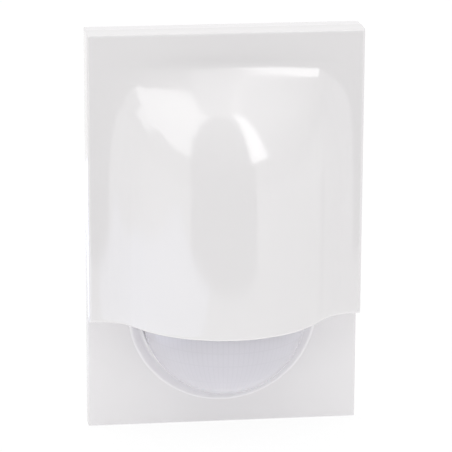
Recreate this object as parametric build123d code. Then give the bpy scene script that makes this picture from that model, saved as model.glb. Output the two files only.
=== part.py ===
from build123d import *

import os
from math import acos, asin, atan2, cos, hypot, radians, sin, sqrt

# Motion sensor light switch for a wall, with a lift-off hood over a domed lens.
# Every piece is drawn lying on its back: X to the right, Y up the wall, Z out of the wall.
# The last turn stands the pieces up, so that they face along -Y with +Z up.

# Overall size
plate_width = 80.0
plate_height = 120.0
plate_depth = 4.4
cut_overrun = 1.0
touch_gap = 0.3
running_gap = 0.05

# Hood
hood_drop = 25.0
hood_wall = 2.0
flange_depth = 12.0
bulge_depth = 33.7
side_setback = 1.5
side_crown_share = 0.7
side_root_share = 0.2956
shoulder_setback = 8.0
shoulder_run = 37.0
shoulder_crown_share = 0.802
shoulder_root_share = 0.0708
hood_edge_round = 0.8
skin_columns = 49
skin_rows = 69
slope_step = 0.001
offset_rounds = 60
offset_step_share = 0.6

# Base plate
floor_thickness = 1.5
rim_width = 3.7
plate_corner_radius = 0.5
plate_edge_round = 0.5
lip_thickness = 1.4
lip_height = 2.5
sill_thickness = 1.6
sill_setback = 0.8
sill_inner_x = 14.0
sill_points = 12

# Wall fixing
fixing_setback = 10.0
fixing_low_y = -10.0
fixing_hole_radius = 2.2
fixing_boss_radius = 4.4
fixing_boss_top = 3.4

# Wall gasket in its groove
gasket_setback = 1.0
gasket_groove_width = 1.8
gasket_thickness = 0.9
gasket_side_gap = 0.1

# Rear pockets that keep the lower face's wall even
pocket_width = 5.2
pocket_height = 14.0
pocket_depth = 2.4
pocket_pitch = 7.0
pocket_setback_x = 9.0
pocket_setback_y = 11.0

# Cable entry
cable_setback = 10.6
cable_radius = 3.8
entry_radius = 5.4
entry_recess_radius = 6.6
entry_recess_depth = 0.6
grommet_side_gap = 0.2
grommet_lip_radius = 6.2
grommet_lip_height = 0.8
grommet_cone_height = 1.2
grommet_wall = 0.9

# Hood posts and their sockets
post_radius = 1.8
post_tip = 3.8
post_chamfer = 0.5
socket_wall = 1.3
socket_clearance = 0.8
socket_floor = 3.4
upper_post_x = 17.0
upper_post_setback = 7.4
lower_post_setback = 7.6
lower_post_y = 17.6

# Lens, its seal and its ring
lens_drop = 25.0
dome_radius = 24.0
dome_clearance = 0.7
dome_wall = 1.0
lens_flange_radius = 25.6
lens_flange_thickness = 0.7
lens_seat_radius = 27.7
lens_seat_edge_round = 0.3
lens_ring_thickness = 0.6
lens_ring_rise = 0.3
lens_ring_gap = 0.4
lens_collar_radius = 29.0
seal_thickness = 0.5
seal_inner_radius = 23.3

# Circuit board
board_seat = 2.1
board_thickness = 1.2
board_low = 4.5
board_high = 42.5
board_corner_radius = 1.5
neck_half_width = 8.0
sensor_disc_radius = 22.3
standoff_radius = 3.0
board_screw_x = 31.5
board_screw_edge = 3.0
board_wall_gap = 0.4
board_screw_low = 8.2
board_screw_high = 38.8
board_screw_radius = 1.1
board_screw_head_radius = 2.2
board_screw_head_height = 1.3
board_screw_reach = 1.2
screw_slot_width = 0.7
screw_slot_depth = 0.6

# Adjusting dials
dial_xs = (-23.5, -12.0, -0.5)
dial_y = 11.5
dial_names = ("time", "light", "range")
pot_side = 9.4
pot_height = 5.0
pot_corner_radius = 0.8
pot_collar_radius = 3.4
pot_collar_height = 0.7
dial_shaft_radius = 1.5
dial_shaft_end = 1.4
dial_radius = 4.2
dial_height = 2.6
dial_slot_width = 1.0
dial_slot_depth = 1.1
dial_flutes = 18
dial_flute_radius = 0.35
pointer_length = 2.2
pointer_width = 0.8

# Relay
relay_x = 14.5
relay_y = 15.8
relay_width = 19.0
relay_length = 15.4
relay_height = 15.0
relay_wall = 0.8
relay_edge_round = 0.6
relay_base_height = 3.0
relay_base_gap = 0.1
bobbin_x = 3.6
bobbin_radius = 4.6
bobbin_flange_thickness = 0.7
core_radius = 1.7
winding_radius = 4.2
coil_height = 7.4
yoke_thickness = 1.2
yoke_x = 2.6
yoke_width = 9.0
armature_thickness = 1.0
armature_gap = 0.55
armature_reach = 9.4
armature_width = 8.0
spring_thickness = 0.4
spring_width = 3.4
spring_offset = 1.3
contact_radius = 1.1
contact_height = 0.6
contact_depth = 5.2
contact_gap = 0.5
fixed_blade_thickness = 0.6
fixed_blade_width = 3.6

# Terminal block
terminal_count = 3
terminal_pitch = 7.5
terminal_low = 33.0
terminal_high = 42.5
terminal_height = 11.0
terminal_edge_round = 0.4
chamber_width = 5.6
chamber_low = 1.2
chamber_height = 6.4
chamber_depth = 7.0
clamp_gap = 0.15
clamp_hole_radius = 1.9
clamp_length = 5.0
clamp_floor = 0.6
terminal_screw_radius = 1.2
terminal_head_radius = 1.9
terminal_head_height = 1.6
terminal_screw_reach = 2.4
terminal_screw_y = 38.6

# Film capacitor, round capacitors, varistor and fuse
film_x = -13.0
film_y = 26.0
film_width = 18.0
film_length = 7.4
film_height = 13.0
film_corner_radius = 0.8
can_xs = (15.8, 24.3)
can_y = 36.8
can_radius = 4.0
can_height = 8.8
can_edge_round = 0.5
can_groove_height = 1.6
can_groove_depth = 0.35
can_vent_width = 0.4
can_vent_depth = 0.3
varistor_x = -19.5
varistor_y = 36.6
varistor_radius = 5.4
varistor_thickness = 3.6
varistor_edge_round = 1.2
lead_radius = 0.35
lead_spread = 2.5
fuse_x = -27.4
fuse_y = 28.6
fuse_radius = 4.1
fuse_height = 7.4
fuse_base_height = 1.2
fuse_base_radius = 3.7

# Chip, rectifier and resistors
chip_x = 28.6
chip_y = 25.6
chip_width = 6.2
chip_length = 10.0
chip_thickness = 2.2
chip_lift = 0.9
chip_pin_count = 7
chip_pin_pitch = 1.27
chip_pin_width = 0.5
chip_pin_thickness = 0.25
chip_pin_reach = 1.1
chip_notch_radius = 0.8
chip_notch_depth = 0.3
rectifier_x = 1.4
rectifier_y = 26.6
rectifier_width = 6.6
rectifier_length = 5.0
rectifier_height = 3.0
rectifier_bevel = 0.9
resistor_xs = (8.6, 12.0, 15.4, 18.8)
resistor_y = 28.6
resistor_radius = 1.2
resistor_waist_radius = 1.0
resistor_length = 5.6
resistor_cap_length = 1.4
resistor_lead_run = 1.1

# Detectors behind the lens
holder_width = 11.0
holder_facet = 10.8
holder_tilt = 45.0
holder_height = 8.2
can_seat_depth = 0.6
pir_radius = 4.6
pir_height = 4.2
pir_flange_radius = 5.0
pir_flange_height = 0.5
pir_edge_round = 0.4
window_width = 4.2
window_height = 3.2
window_thickness = 0.4
window_corner_radius = 0.3
detector_names = ("left", "centre", "right")
photocell_offset = 14.5
photocell_radius = 2.5
photocell_height = 2.0
photocell_track_width = 0.5
photocell_track_depth = 0.2
led_offset = 13.8
led_radius = 1.5
led_height = 3.6
led_foot_radius = 1.8
led_foot_height = 0.8

# Room that the lens and the works were laid out for
works_width = 72.6
works_height = 112.6
works_depth = 30.2
works_flange = 10.0

# Worked out from the sizes above
half_width = plate_width / 2
half_height = plate_height / 2
bulge = bulge_depth - flange_depth
board_top = board_seat + board_thickness
tray_half_width = half_width - rim_width
tray_top = half_height - rim_width
under_flange = flange_depth - hood_wall
under_bulge = bulge_depth - hood_wall - floor_thickness
across_share = min(2 * tray_half_width / works_width, 2 * tray_top / works_height)
works_share = min(across_share, under_bulge / works_depth, under_flange / works_flange)
board_room = tray_half_width / works_share - board_wall_gap
board_fixing_x = min(board_screw_x, board_room - board_screw_edge)
board_half_width = board_fixing_x + board_screw_edge
dome_centre_depth = floor_thickness + under_bulge / works_share - dome_clearance - dome_radius
side_run = half_width - side_setback
side_arcs = (side_run**2 + bulge**2) / (2 * bulge)
side_crown_radius = side_crown_share * side_arcs
side_root_radius = side_root_share * side_arcs
shoulder_top = half_height - shoulder_setback
shoulder_arcs = (shoulder_run**2 + bulge**2) / (2 * bulge)
shoulder_crown_radius = shoulder_crown_share * shoulder_arcs
shoulder_root_radius = shoulder_root_share * shoulder_arcs
socket_top = under_flange - socket_clearance
cable_y = half_height - cable_setback
lens_ring_radius = lens_seat_radius - running_gap
hood_inner_half = half_width - hood_wall
lip_half_width = hood_inner_half - touch_gap
lip_top = half_height - hood_wall - touch_gap
sill_low = -hood_drop + sill_setback
sill_high = sill_low + sill_thickness
fixing_xs = (fixing_setback - half_width, half_width - fixing_setback)
fixing_ys = (fixing_low_y, half_height - fixing_setback)
socket_radius = post_radius + running_gap
socket_outer_radius = socket_radius + socket_wall
upright = Rot(90, 0, 0)


# Helpers
def block(x_low, x_high, y_low, y_high, z_low, z_high):
    """Box between two limits on each axis."""
    return Pos(x_low, y_low, z_low) * Box(x_high - x_low, y_high - y_low, z_high - z_low, align=Align.MIN)


def rod(radius, z_low, z_high, x=0, y=0):
    """Round bar along Z."""
    bottom = (Align.CENTER, Align.CENTER, Align.MIN)
    return Pos(x, y, z_low) * Cylinder(radius, z_high - z_low, align=bottom)


def tube(outer, inner, z_low, z_high, x=0, y=0):
    """Round tube along Z, open at both ends."""
    return rod(outer, z_low, z_high, x, y) - rod(inner, z_low - cut_overrun, z_high + cut_overrun, x, y)


def slab(width, height, corner, z_low, z_high, x=0, y=0):
    """Flat piece with rounded upright corners."""
    return Pos(x, y, z_low) * extrude(RectangleRounded(width, height, corner), z_high - z_low)


def turned(points):
    """Solid of revolution about Z from an outline of radius and depth."""
    return revolve(make_face(Plane.XZ * Polyline(points, close=True)), Axis.Z)


def group(pieces):
    """Separate solids of one node."""
    return Part() + list(pieces)


def fitted(shape):
    """Size the lens and the works to the room behind the hood, about the middle of the lens's seat."""
    seat = Pos(0, -lens_drop, floor_thickness)
    shape = seat.inverse() * shape
    place = shape.location
    moved = Location(place.position * works_share, place.orientation)
    return seat * moved * scale(place.inverse() * shape, works_share)


def save(name, shape):
    """Stand a piece upright and write it."""
    export_step(upright * shape, f"parts/{name}.step")


def save_fitted(name, shape):
    """Write a piece of the lens or the works."""
    save(name, fitted(shape))


# Shape of the hood's skin
def fall(run, length, drop, crown, root):
    """Drop of an S curve at a run from its crown: an arc, a straight slope and a second arc."""
    both = crown + root
    turn = atan2(length, both - drop) - acos(both / hypot(both - drop, length))
    left = length - run
    if run <= crown * sin(turn):
        return crown - sqrt(crown**2 - run**2)
    if left <= 0:
        return drop
    if left <= root * sin(turn):
        return drop - root + sqrt(root**2 - left**2)
    return crown * (1 - cos(turn)) + (run - crown * sin(turn)) * sin(turn) / cos(turn)


def skin_depth(x, y):
    """Depth of the hood's outer face: a bell across the width that dies away up to the shoulder."""
    across = 1 - fall(abs(x), side_run, bulge, side_crown_radius, side_root_radius) / bulge
    climb = max(y - (shoulder_top - shoulder_run), 0)
    along = 1 - fall(climb, shoulder_run, bulge, shoulder_crown_radius, shoulder_root_radius) / bulge
    return flange_depth + bulge * across * along


def depth_under(x, y, wall):
    """Depth of the face that lies a wall's thickness under the skin, measured square to the skin."""
    u, v = x, y
    for _ in range(offset_rounds):
        slope_x = (skin_depth(u + slope_step, v) - skin_depth(u - slope_step, v)) / (2 * slope_step)
        slope_y = (skin_depth(u, v + slope_step) - skin_depth(u, v - slope_step)) / (2 * slope_step)
        steepness = sqrt(1 + slope_x**2 + slope_y**2)
        u += offset_step_share * (x - wall * slope_x / steepness - u)
        v += offset_step_share * (y - wall * slope_y / steepness - v)
    return skin_depth(u, v) - wall / steepness


def skin_face(low, wall):
    """Smooth face through a lattice of depths, from a low edge up to the plate's top."""
    xs = [-half_width + plate_width * i / (skin_columns - 1) for i in range(skin_columns)]
    ys = [low + (half_height - low) * j / (skin_rows - 1) for j in range(skin_rows)]
    lattice = [[Vector(x, y, depth_under(x, y, wall)) for y in ys] for x in xs]
    return Face.make_surface_from_array_of_points(lattice, tol=0.02, min_deg=3, max_deg=5)


# Hood
def post_places():
    """Centres of the four hood posts."""
    lower = [(side * (half_width - lower_post_setback), -lower_post_y) for side in (-1, 1)]
    return lower + [(side * upper_post_x, half_height - upper_post_setback) for side in (-1, 1)]


def front_hood():
    """Moulded shell, open at its back and lower edge, with a round post at each corner."""
    down = (0, 0, -1)
    outer = extrude(skin_face(-hood_drop, 0), bulge_depth, dir=down)
    front = bulge_depth + cut_overrun
    outer = outer & block(-half_width, half_width, -hood_drop, half_height, plate_depth, front)
    outer = fillet(outer.faces().sort_by(Axis.Z)[-1].edges(), hood_edge_round)
    cave_low = -hood_drop - cut_overrun
    cave_top = half_height - hood_wall
    cave = extrude(skin_face(cave_low, hood_wall), bulge_depth, dir=down)
    cave = cave & block(-hood_inner_half, hood_inner_half, cave_low, cave_top, 0, bulge_depth)
    for x, y in post_places():
        cave -= rod(post_radius, 0, bulge_depth, x, y)
    hood = outer - cave
    for x, y in post_places():
        hood += Pos(x, y, 0) * turned([
            (0, post_tip),
            (post_radius - post_chamfer, post_tip),
            (post_radius, post_tip + post_chamfer),
            (post_radius, flange_depth / 2),
            (0, flange_depth / 2),
        ])
    return hood


# Base plate
def tray():
    """Hollow behind the hood, less the collar that carries the lens."""
    low = sill_high
    front = plate_depth + cut_overrun
    hollow = block(-tray_half_width, tray_half_width, low, tray_top, floor_thickness, front)
    collar = fitted(rod(lens_collar_radius, 0, bulge_depth, 0, -lens_drop))
    passage = fitted(neck_passage(floor_thickness, bulge_depth))
    return hollow - collar + (passage & block(-half_width, half_width, -half_height, half_height, 0, front))


def neck_passage(low, high):
    """Room that the board's neck needs on its way to the disc behind the lens."""
    neck = neck_half_width + touch_gap
    return block(-neck, neck, -lens_drop, board_low, low, high)


def sill():
    """Upright wall that closes the hood's open end on one side of the lens."""
    gap = hood_wall + touch_gap
    end = lip_half_width
    xs = [sill_inner_x + (end - sill_inner_x) * i / (sill_points - 1) for i in range(sill_points)]
    edge = [(x, depth_under(x, -hood_drop, gap)) for x in xs]
    outline = Spline(edge) + Polyline(edge[-1], (end, 0), (sill_inner_x, 0), edge[0])
    wall = Pos(0, sill_low, 0) * extrude(make_face(Plane.XZ * outline), -sill_thickness)
    around = dome_radius + 2 * touch_gap
    lens_room = Pos(0, -lens_drop, dome_centre_depth) * Sphere(around)
    lens_room += rod(around, 0, dome_centre_depth, 0, -lens_drop)
    lens_room += rod(lens_seat_radius, 0, plate_depth, 0, -lens_drop)
    return wall - fitted(lens_room)


def base_plate():
    """Moulded wall plate: tray, lens seat, bosses, sockets, lip and the two sills."""
    plate = slab(plate_width, plate_height, plate_corner_radius, 0, plate_depth)
    plate = fillet(plate.faces().sort_by(Axis.Z)[-1].edges(), plate_edge_round)
    plate -= tray()
    plate -= fitted(rod(lens_seat_radius, floor_thickness, plate_depth + 2 * cut_overrun, 0, -lens_drop))
    front_circles = plate.edges().filter_by(GeomType.CIRCLE).filter_by_position(Axis.Z, plate_depth, plate_depth)
    plate = fillet(front_circles.group_by(SortBy.RADIUS)[0], lens_seat_edge_round)
    lip = block(-lip_half_width, lip_half_width, sill_low, lip_top, 0, plate_depth + lip_height)
    inner = lip_half_width - lip_thickness
    lip -= block(-inner, inner, sill_low - cut_overrun, lip_top - lip_thickness, 0, plate_depth + lip_height)
    plate += lip & block(-half_width, half_width, -half_height, half_height, plate_depth / 2, bulge_depth)
    side_wall = sill() & block(0, half_width, -half_height, half_height, plate_depth / 2, bulge_depth)
    plate += side_wall
    plate += mirror(side_wall, Plane.YZ)
    for x in fixing_xs:
        for y in fixing_ys:
            plate += rod(fixing_boss_radius, 0, fixing_boss_top, x, y)
            plate -= rod(fixing_hole_radius, -cut_overrun, plate_depth, x, y)
    for x, y in post_places():
        plate += rod(socket_outer_radius, 0, socket_top, x, y)
        plate -= rod(socket_radius, socket_floor, socket_top + cut_overrun, x, y)
    for x, y in board_screw_places():
        plate += fitted(rod(standoff_radius, 0, board_seat, x, y))
        hole_low = board_seat - board_screw_reach - running_gap
        plate -= fitted(rod(board_screw_radius + running_gap, hole_low, board_seat + cut_overrun, x, y))
    plate -= rod(entry_radius, -cut_overrun, plate_depth, 0, cable_y)
    plate -= rod(entry_recess_radius, -cut_overrun, entry_recess_depth, 0, cable_y)
    plate -= gasket_ring(0)
    for side in (-1, 1):
        for step in (-1, 1):
            x = side * (half_width - pocket_setback_x) + step * pocket_pitch / 2
            low = pocket_setback_y - half_height - pocket_height / 2
            half = pocket_width / 2
            plate -= block(x - half, x + half, low, low + pocket_height, -cut_overrun, pocket_depth)
    return plate


def gasket_ring(gap):
    """Rectangular ring near the plate's rear edge, thinner on each side by a gap."""
    width = plate_width - 2 * gasket_setback - 2 * gap
    height = plate_height - 2 * gasket_setback - 2 * gap
    inside = 2 * gasket_groove_width - 4 * gap
    low = -cut_overrun if gap == 0 else 0
    ring = slab(width, height, plate_corner_radius, low, gasket_thickness)
    top = gasket_thickness + cut_overrun
    return ring - slab(width - inside, height - inside, plate_corner_radius, low - cut_overrun, top)


def cable_grommet():
    """Rubber ring that grips the floor's edge round the cable, with a short cone."""
    neck = entry_radius - grommet_side_gap
    lip = floor_thickness + grommet_lip_height
    tip = lip + grommet_cone_height
    profile = [
        (cable_radius, 0), (entry_recess_radius - grommet_side_gap, 0),
        (entry_recess_radius - grommet_side_gap, entry_recess_depth), (neck, entry_recess_depth),
        (neck, floor_thickness), (grommet_lip_radius, floor_thickness), (grommet_lip_radius, lip),
        (neck, lip), (cable_radius + grommet_wall, tip), (cable_radius, tip)]
    return Pos(0, cable_y, 0) * turned(profile)


# Lens
def lens_dome():
    """Half dome on a short collar and a flange, with shallow rings inside."""
    flange_low = floor_thickness + seal_thickness
    inner = dome_radius - dome_wall
    outside = Pos(0, 0, dome_centre_depth) * Sphere(dome_radius)
    outside = outside & rod(dome_radius + cut_overrun, dome_centre_depth, dome_centre_depth + dome_radius)
    outside += rod(dome_radius, flange_low, dome_centre_depth)
    outside += rod(lens_flange_radius, flange_low, flange_low + lens_flange_thickness)
    inside = Pos(0, 0, dome_centre_depth) * Sphere(inner)
    inside += rod(inner, 0, dome_centre_depth)
    return Pos(0, -lens_drop, 0) * (outside - inside) - neck_passage(0, board_top + touch_gap)


def lens_ring():
    """Dished ring that clamps the lens flange, open where the board's neck passes."""
    flange_top = floor_thickness + seal_thickness + lens_flange_thickness
    inner = dome_radius + lens_ring_gap
    step = lens_flange_radius + gasket_side_gap
    top = flange_top + lens_ring_thickness
    profile = [
        (inner, flange_top),
        (step, flange_top),
        (step, floor_thickness),
        (lens_ring_radius, floor_thickness),
        (lens_ring_radius, top + lens_ring_rise),
        (inner, top),
    ]
    return Pos(0, -lens_drop, 0) * turned(profile) - neck_passage(0, plate_depth)


def lens_seal():
    """Flat rubber ring under the lens flange, open where the board's neck passes."""
    top = floor_thickness + seal_thickness
    seal = tube(lens_flange_radius, seal_inner_radius, floor_thickness, top, 0, -lens_drop)
    return seal - neck_passage(0, plate_depth)


# Circuit board
def board_screw_places():
    """Centres of the four board screws."""
    return [(side * board_fixing_x, y) for side in (-1, 1) for y in (board_screw_low, board_screw_high)]


def main_board():
    """One board: a wide field for the works and a disc behind the lens, joined by a neck."""
    height = board_high - board_low
    middle = board_low + height / 2
    board = slab(2 * board_half_width, height, board_corner_radius, board_seat, board_top, 0, middle)
    board += block(-neck_half_width, neck_half_width, -lens_drop, middle, board_seat, board_top)
    board += rod(sensor_disc_radius, board_seat, board_top, 0, -lens_drop)
    for x, y in board_screw_places():
        board -= rod(board_screw_radius + running_gap, 0, board_top + cut_overrun, x, y)
    return board


def board_screws():
    """Four pan-head screws."""
    screws = []
    for x, y in board_screw_places():
        head_top = board_top + board_screw_head_height
        screw = rod(board_screw_radius, board_seat - board_screw_reach, board_top, x, y)
        head = rod(board_screw_head_radius, board_top, head_top, x, y)
        head = fillet(head.edges().group_by(Axis.Z)[-1], board_screw_head_height / 2)
        slot = board_screw_head_radius + cut_overrun
        half = screw_slot_width / 2
        low = head_top - screw_slot_depth
        head -= block(x - slot, x + slot, y - half, y + half, low, head_top + cut_overrun)
        screws.append(screw + head)
    return group(screws)


# Adjusting dials
def pot_body(x):
    """Square body of an adjusting dial, with a round collar and a bore for the shaft."""
    top = board_top + pot_height
    body = slab(pot_side, pot_side, pot_corner_radius, board_top, top, x, dial_y)
    body += rod(pot_collar_radius, top, top + pot_collar_height, x, dial_y)
    bore_low = board_top + dial_shaft_end - touch_gap
    return body - rod(dial_shaft_radius + running_gap, bore_low, top + pot_height, x, dial_y)


def dial(x):
    """Fluted dial with a slot for a screwdriver and a pointer, on its shaft."""
    low = board_top + pot_height + pot_collar_height + touch_gap
    top = low + dial_height
    knob = rod(dial_radius, low, top)
    for i in range(dial_flutes):
        flute = rod(dial_flute_radius, low - cut_overrun, top + cut_overrun, dial_radius)
        knob -= Rot(0, 0, 360 * i / dial_flutes) * flute
    half = dial_slot_width / 2
    reach = dial_radius - pointer_length / 2
    tail = reach - pointer_length / 2
    slot_low = top - dial_slot_depth
    knob -= block(-half, half, -reach, reach, slot_low, top + cut_overrun)
    knob -= block(-pointer_width, pointer_width, tail, reach, slot_low, top + cut_overrun)
    knob += rod(dial_shaft_radius, board_top + dial_shaft_end, low)
    return Pos(x, dial_y, 0) * knob


# Relay
def relay_place(shape):
    """Put a relay piece, drawn about its own centre on the board, in its place."""
    return Pos(relay_x, relay_y, board_top) * shape


def relay_base():
    """Moulded foot of the relay."""
    inside = 2 * (relay_wall + relay_base_gap)
    return slab(relay_width - inside, relay_length - inside, relay_edge_round, 0, relay_base_height)


def relay_case():
    """Thin-walled cover of the relay, open at the board."""
    case = slab(relay_width, relay_length, relay_edge_round, 0, relay_height)
    case = fillet(case.faces().sort_by(Axis.Z)[-1].edges(), relay_edge_round)
    width = relay_width - 2 * relay_wall
    length = relay_length - 2 * relay_wall
    return case - slab(width, length, relay_edge_round / 2, -cut_overrun, relay_height - relay_wall)


def coil_top():
    """Height of the core's upper end over the board."""
    return relay_base_height + yoke_thickness + coil_height


def relay_bobbin():
    """Reel with two flanges round the core."""
    low = relay_base_height + yoke_thickness
    top = coil_top() - touch_gap
    reel = rod(core_radius + bobbin_flange_thickness, low, top)
    reel += rod(bobbin_radius, low, low + bobbin_flange_thickness)
    reel += rod(bobbin_radius, top - bobbin_flange_thickness, top)
    reel -= rod(core_radius + running_gap, 0, relay_height)
    return Pos(-bobbin_x, 0, 0) * reel


def relay_winding():
    """Copper winding between the flanges."""
    low = relay_base_height + yoke_thickness + bobbin_flange_thickness
    top = coil_top() - touch_gap - bobbin_flange_thickness
    return Pos(-bobbin_x, 0, 0) * tube(winding_radius, core_radius + bobbin_flange_thickness, low, top)


def relay_yoke():
    """Iron angle that carries the core and the armature's hinge edge."""
    half = yoke_width / 2
    low = relay_base_height
    foot = block(-bobbin_x - bobbin_radius, yoke_x, -half, half, low, low + yoke_thickness)
    leg = block(yoke_x, yoke_x + yoke_thickness, -half, half, low, coil_top() + armature_gap)
    core = rod(core_radius, low, coil_top(), -bobbin_x)
    return foot + leg + core


def relay_armature():
    """Iron flap over the core, which tips on the yoke's upper edge."""
    half = armature_width / 2
    low = coil_top() + armature_gap
    far = yoke_x + yoke_thickness + spring_offset
    return block(yoke_x - armature_reach, far, -half, half, low, low + armature_thickness)


def contact(x, height):
    """Round contact that stands on a blade's face, towards +X."""
    bottom = (Align.CENTER, Align.CENTER, Align.MIN)
    place = Pos(x, 0, contact_depth + contact_radius) * Rot(0, 90, 0)
    return place * Cylinder(contact_radius, height, align=bottom)


def relay_contact_spring():
    """Spring blade on the armature with the moving contact."""
    half = spring_width / 2
    x_low = yoke_x + yoke_thickness + spring_offset
    top = coil_top() + armature_gap + armature_thickness
    blade = block(x_low, x_low + spring_thickness, -half, half, contact_depth, top)
    return blade + contact(x_low + spring_thickness, contact_height)


def relay_fixed_contact():
    """Upright blade with the fixed contact."""
    half = fixed_blade_width / 2
    face = yoke_x + yoke_thickness + spring_offset + spring_thickness + contact_height + contact_gap
    low = face + contact_height / 2
    top = contact_depth + 2 * contact_radius + contact_height
    blade = block(low, low + fixed_blade_thickness, -half, half, relay_base_height, top)
    return blade + contact(face, contact_height / 2)


# Terminal block
def terminal_xs():
    """Centres of the terminal ways."""
    return [(i - (terminal_count - 1) / 2) * terminal_pitch for i in range(terminal_count)]


def terminal_block():
    """Moulded block with a chamber, a wire mouth and a screw shaft for each way."""
    half = terminal_count * terminal_pitch / 2
    top = board_top + terminal_height
    body = block(-half, half, terminal_low, terminal_high, board_top, top)
    body = fillet(body.edges().filter_by(Axis.X).group_by(Axis.Z)[-1], terminal_edge_round)
    low = board_top + chamber_low
    for x in terminal_xs():
        side = chamber_width / 2
        back = terminal_high - chamber_depth
        body -= block(x - side, x + side, back, terminal_high + cut_overrun, low, low + chamber_height)
        body -= rod(terminal_head_radius + touch_gap / 2, low, top + cut_overrun, x, terminal_screw_y)
    return body


def terminal_clamps():
    """Brass cages with a wire hole each."""
    clamps = []
    low = board_top + chamber_low
    y_low = terminal_high - chamber_depth + clamp_gap
    for x in terminal_xs():
        side = chamber_width / 2 - clamp_gap
        middle = low + clamp_floor + clamp_hole_radius
        cage = block(x - side, x + side, y_low, y_low + clamp_length, low, low + chamber_height - clamp_gap)
        bore = Pos(x, y_low + clamp_length / 2, middle) * Rot(90, 0, 0)
        cage -= bore * Cylinder(clamp_hole_radius, clamp_length + cut_overrun)
        top = low + chamber_height + cut_overrun
        cage -= rod(terminal_screw_radius + running_gap, middle, top, x, terminal_screw_y)
        clamps.append(cage)
    return group(clamps)


def terminal_screws():
    """Slotted clamp screws."""
    screws = []
    cage_top = board_top + chamber_low + chamber_height - clamp_gap
    head_top = cage_top + terminal_head_height
    for x in terminal_xs():
        screw = rod(terminal_screw_radius, cage_top - terminal_screw_reach, cage_top, x, terminal_screw_y)
        screw += rod(terminal_head_radius, cage_top, head_top, x, terminal_screw_y)
        half = screw_slot_width / 2
        slot = terminal_head_radius + cut_overrun
        y_low = terminal_screw_y - half
        y_high = terminal_screw_y + half
        low = head_top - screw_slot_depth
        screw -= block(x - slot, x + slot, y_low, y_high, low, head_top + cut_overrun)
        screws.append(screw)
    return group(screws)


# Board parts
def film_capacitor():
    """Box-shaped capacitor."""
    top = board_top + film_height
    body = slab(film_width, film_length, film_corner_radius, board_top, top, film_x, film_y)
    return fillet(body.faces().sort_by(Axis.Z)[-1].edges(), film_corner_radius / 2)


def round_capacitors():
    """Two upright cans with a rolled groove and a vent cross."""
    cans = []
    for x in can_xs:
        can = rod(can_radius, 0, can_height)
        can = fillet(can.edges().group_by(Axis.Z)[-1], can_edge_round)
        can -= Pos(0, 0, can_groove_height) * Torus(can_radius + can_groove_depth, 2 * can_groove_depth)
        half = can_vent_width / 2
        arm = can_radius - 2 * can_edge_round
        low = can_height - can_vent_depth
        can -= block(-arm, arm, -half, half, low, can_height + cut_overrun)
        can -= block(-half, half, -arm, arm, low, can_height + cut_overrun)
        cans.append(Pos(x, can_y, board_top) * can)
    return group(cans)


def varistor():
    """Dipped disc on two leads."""
    bottom = (Align.CENTER, Align.CENTER, Align.CENTER)
    disc = Rot(90, 0, 0) * Cylinder(varistor_radius, varistor_thickness, align=bottom)
    disc = fillet(disc.edges().filter_by(GeomType.CIRCLE), varistor_edge_round)
    lift = varistor_radius + varistor_edge_round
    leads = [rod(lead_radius, 0, lift, side * lead_spread) for side in (-1, 1)]
    return Pos(varistor_x, varistor_y, board_top) * (Pos(0, 0, lift) * disc + leads)


def fuse():
    """Round upright fuse on its foot."""
    cap = rod(fuse_radius, fuse_base_height, fuse_height)
    cap = fillet(cap.edges().group_by(Axis.Z)[-1], can_edge_round)
    return Pos(fuse_x, fuse_y, board_top) * (rod(fuse_base_radius, 0, fuse_base_height) + cap)


def controller_chip():
    """Flat chip with a row of bent pins on each side."""
    half_w = chip_width / 2
    half_l = chip_length / 2
    chip = block(-half_w, half_w, -half_l, half_l, chip_lift, chip_lift + chip_thickness)
    top = chip_lift + chip_thickness
    chip -= rod(chip_notch_radius, top - chip_notch_depth, top + cut_overrun, 0, half_l)
    middle = chip_lift + chip_thickness / 2
    half_pin = chip_pin_width / 2
    for i in range(chip_pin_count):
        y = (i - (chip_pin_count - 1) / 2) * chip_pin_pitch
        for side in (-1, 1):
            reach = half_w + chip_pin_reach
            arm = block(half_w, reach, y - half_pin, y + half_pin, middle - chip_pin_thickness, middle)
            foot = block(reach - chip_pin_thickness, reach, y - half_pin, y + half_pin, 0, middle)
            pin = arm + foot
            chip += pin if side > 0 else mirror(pin, Plane.YZ)
    return Pos(chip_x, chip_y, board_top) * chip


def rectifier():
    """Small bridge block with one bevelled corner."""
    half_w = rectifier_width / 2
    half_l = rectifier_length / 2
    outline = Polyline([
        (-half_w, -half_l), (half_w, -half_l), (half_w, half_l - rectifier_bevel),
        (half_w - rectifier_bevel, half_l), (-half_w, half_l)], close=True)
    return Pos(rectifier_x, rectifier_y, board_top) * extrude(make_face(outline), rectifier_height)


def resistors():
    """Axial resistors with bent leads."""
    pieces = []
    lift = resistor_radius + lead_radius
    half = resistor_length / 2
    waist = half - resistor_cap_length
    reach = half + resistor_lead_run
    outline = [
        (0, -half),
        (resistor_radius, -half),
        (resistor_radius, -waist),
        (resistor_waist_radius, -waist + lead_radius),
        (resistor_waist_radius, waist - lead_radius),
        (resistor_radius, waist),
        (resistor_radius, half),
        (0, half),
    ]
    body = Rot(90, 0, 0) * turned(outline)
    lead = Rot(90, 0, 0) * Cylinder(lead_radius, 2 * reach)
    for side in (-1, 1):
        lead += rod(lead_radius, -lift, lead_radius, 0, side * (reach - lead_radius))
    for x in resistor_xs:
        pieces.append(Pos(x, resistor_y, board_top + lift) * (body + lead))
    return group(pieces)


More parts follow.
